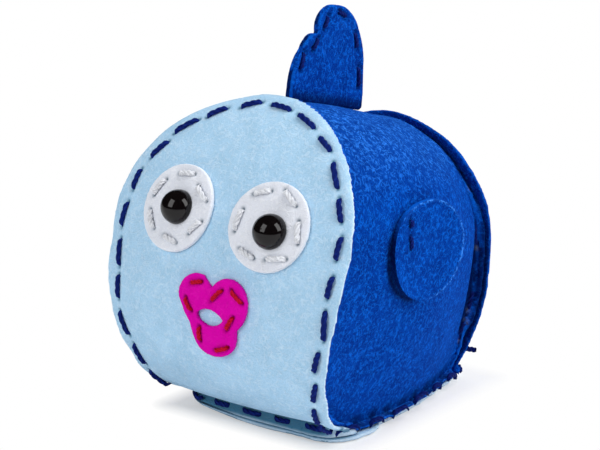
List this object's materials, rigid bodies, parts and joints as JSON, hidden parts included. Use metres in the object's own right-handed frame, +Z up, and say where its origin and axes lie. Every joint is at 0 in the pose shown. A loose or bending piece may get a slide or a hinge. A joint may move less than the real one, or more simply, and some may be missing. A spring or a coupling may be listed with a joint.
{
  "type": "hand-sewn felt fish toy",
  "caption": "Stuffed felt fish toy with a bulging sewn face, domed eyes on felt discs, felt lips, and an upright top fin and round side fins that flex",
  "frame": {"origin": "under the middle of the base panel, on the surface that the toy stands on", "axes": "+Z up, face looks along -Y, +X to the right seen from the front"},
  "size_m": [0.09, 0.1017, 0.1192],
  "materials": {
    "pale_blue_felt": "matt pressed craft felt, fine even fibre",
    "royal_blue_felt": "matt pressed craft felt, long streaky fibre with a light nap",
    "white_felt": "matt white craft felt",
    "pink_felt": "matt magenta craft felt",
    "black_eye_plastic": "polished black plastic dome",
    "washer_plastic": "plain translucent white polyethylene",
    "fibre_filling": "loose white polyester fibre",
    "navy_thread": "stranded cotton embroidery thread",
    "white_thread": "stranded cotton embroidery thread",
    "red_thread": "stranded cotton embroidery thread"
  },
  "bodies": {
    "body": {"face_panel": "pale_blue_felt", "base_panel": "pale_blue_felt", "side_band": "royal_blue_felt", "back_panel": "royal_blue_felt", "side_fin_left_sewn_edge": "royal_blue_felt", "side_fin_right_sewn_edge": "royal_blue_felt", "eye_disc_left": "white_felt", "eye_disc_right": "white_felt", "mouth_patch": "pink_felt", "eye_left": "black_eye_plastic", "eye_right": "black_eye_plastic", "eye_washer_left": "washer_plastic", "eye_washer_right": "washer_plastic", "stuffing": "fibre_filling", "face_seam_thread": "navy_thread", "back_seam_thread": "navy_thread", "base_seam_thread": "navy_thread", "side_fin_left_thread": "navy_thread", "side_fin_right_thread": "navy_thread", "eye_disc_left_thread": "white_thread", "eye_disc_right_thread": "white_thread", "mouth_thread": "red_thread"},
    "top_fin": {"top_fin_left_layer": "royal_blue_felt", "top_fin_right_layer": "royal_blue_felt", "top_fin_thread": "navy_thread"},
    "side_fin_left": {"side_fin_left_flap": "royal_blue_felt"},
    "side_fin_right": {"side_fin_right_flap": "royal_blue_felt"}
  },
  "joints": [
    {"name": "top_fin_tilt", "type": "hinge", "parent": "body", "child": "top_fin", "pos_m": [0, -0.0224, 0.09641], "axis": [0, 0.9686, -0.2484], "range_deg": [-25, 25], "stiffness_Nm_per_rad": 0.001},
    {"name": "side_fin_left_lift", "type": "hinge", "parent": "body", "child": "side_fin_left", "pos_m": [-0.04112, -0.01922, 0.0555], "axis": [0, 0, 1], "range_deg": [0, 60], "stiffness_Nm_per_rad": 0.0003},
    {"name": "side_fin_right_lift", "type": "hinge", "parent": "body", "child": "side_fin_right", "pos_m": [0.04112, -0.01922, 0.0555], "axis": [0, 0, -1], "range_deg": [0, 60], "stiffness_Nm_per_rad": 0.0003}
  ]
}
